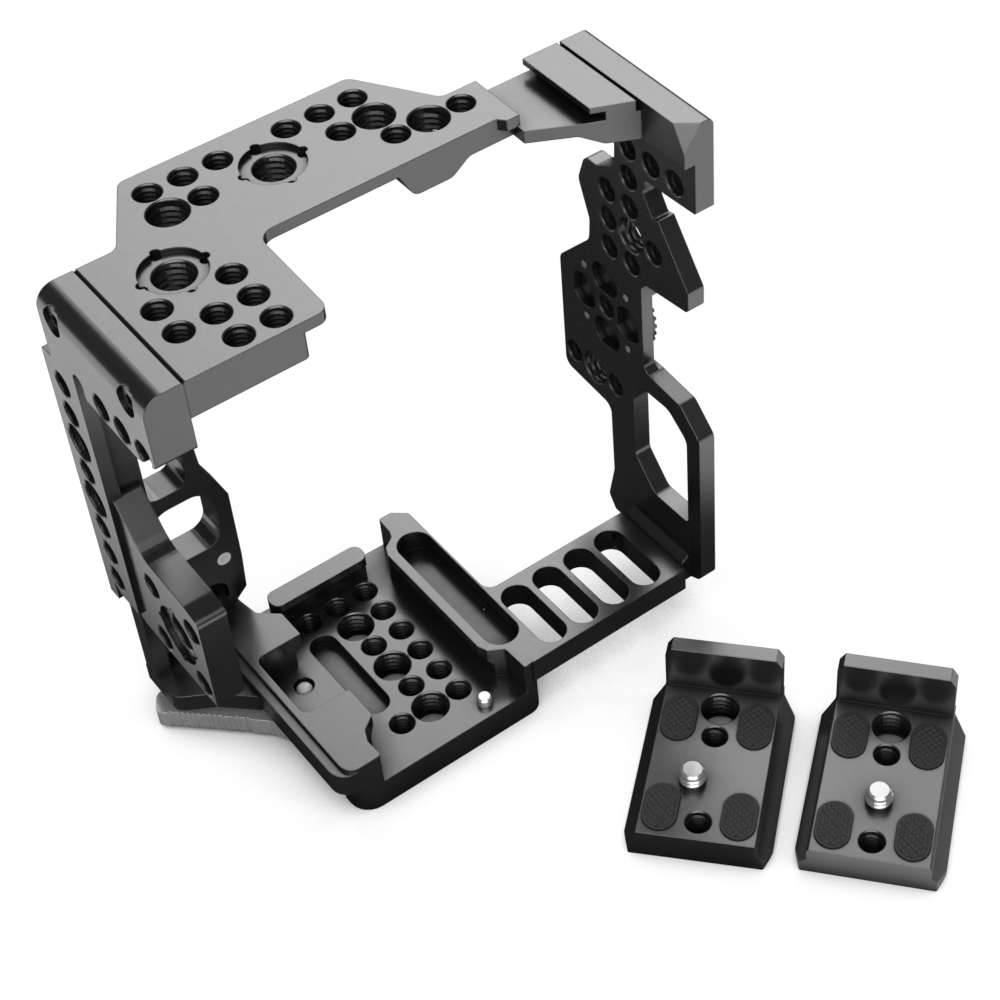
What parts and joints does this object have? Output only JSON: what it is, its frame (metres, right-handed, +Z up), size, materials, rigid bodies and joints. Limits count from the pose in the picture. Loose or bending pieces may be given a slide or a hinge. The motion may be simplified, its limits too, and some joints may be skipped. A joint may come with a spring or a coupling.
{
  "type": "camera cage",
  "caption": "Skeletal camera cage with threaded accessory holes, a dovetail quick-release base with a cam lever, and loose quick-release plates beside it.",
  "frame": {"origin": "axis of the middle tripod socket at the base's underside", "axes": "+X to the cage's right (the rail and rosette side), +Y to its back, +Z up"},
  "size_m": [0.1686, 0.1858, 0.1665],
  "materials": {
    "black_anodised": "satin black anodised",
    "silver_alloy": "satin machined",
    "steel": "bright steel",
    "black_steel": "black oxide",
    "rubber_pad": "ribbed matte"
  },
  "bodies": {
    "cage": {"top_plate": "black_anodised", "left_frame": "black_anodised", "right_frame": "black_anodised", "base_plate": "black_anodised", "top_left_screw_front": "black_steel", "top_left_screw_back": "black_steel", "top_right_screw_front": "black_steel", "top_right_screw_back": "black_steel", "flange_screw": "black_steel", "flange_set_screw": "steel", "left_foot_screw": "black_steel", "right_foot_screw_front": "black_steel", "right_foot_screw_back": "black_steel", "dome_pin": "steel", "rosette": "black_anodised", "rosette_screw_1": "steel", "rosette_screw_2": "steel", "rosette_screw_3": "steel", "rosette_screw_4": "steel", "stop_bar": "black_anodised", "stop_bar_screw_left": "steel", "stop_bar_screw_right": "steel", "lever_pivot_screw": "steel", "lever_washer": "steel", "lock_pin_spring": "steel", "lock_pin_plug": "black_steel"},
    "lever": {"cam_lever": "silver_alloy", "clamp_cam": "black_anodised"},
    "pin": {"lock_pin": "steel"},
    "plate_a": {"plate_a": "black_anodised", "plate_a_pad_1": "rubber_pad", "plate_a_pad_2": "rubber_pad", "plate_a_pad_3": "rubber_pad", "plate_a_pad_4": "rubber_pad", "plate_a_ring": "steel"},
    "plate_a_stud": {"plate_a_screw": "steel"},
    "plate_b": {"plate_b": "black_anodised", "plate_b_pad_1": "rubber_pad", "plate_b_pad_2": "rubber_pad", "plate_b_pad_3": "rubber_pad", "plate_b_pad_4": "rubber_pad", "plate_b_ring": "steel"},
    "plate_b_stud": {"plate_b_screw": "steel"}
  },
  "joints": [
    {"name": "lever_hinge", "type": "hinge", "parent": "cage", "child": "lever", "pos_m": [-0.0246, -0.013, 0], "axis": [0, 0, 1], "range_deg": [0, 75]},
    {"name": "lock_pin_slide", "type": "slide", "parent": "cage", "child": "pin", "axis": [0, 0, -1], "range_m": [0, 0.0026], "stiffness_N_per_m": 600, "springref_m": -0.002, "deforming": ["lock_pin_spring"]},
    {"name": "plate_a_lift", "type": "slide", "parent": "cage", "child": "plate_a", "axis": [0, 0, 1], "range_m": [0, 0.06]},
    {"name": "plate_b_lift", "type": "slide", "parent": "cage", "child": "plate_b", "axis": [0, 0, 1], "range_m": [0, 0.06]},
    {"name": "plate_a_screw_turn", "type": "hinge", "parent": "plate_a", "child": "plate_a_stud", "pos_m": [0.03806, -0.08034, 0.009], "axis": [0, 0, 1], "continuous": true},
    {"name": "plate_b_screw_turn", "type": "hinge", "parent": "plate_b", "child": "plate_b_stud", "pos_m": [0.07008, -0.11503, 0.009], "axis": [0, 0, 1], "continuous": true}
  ]
}
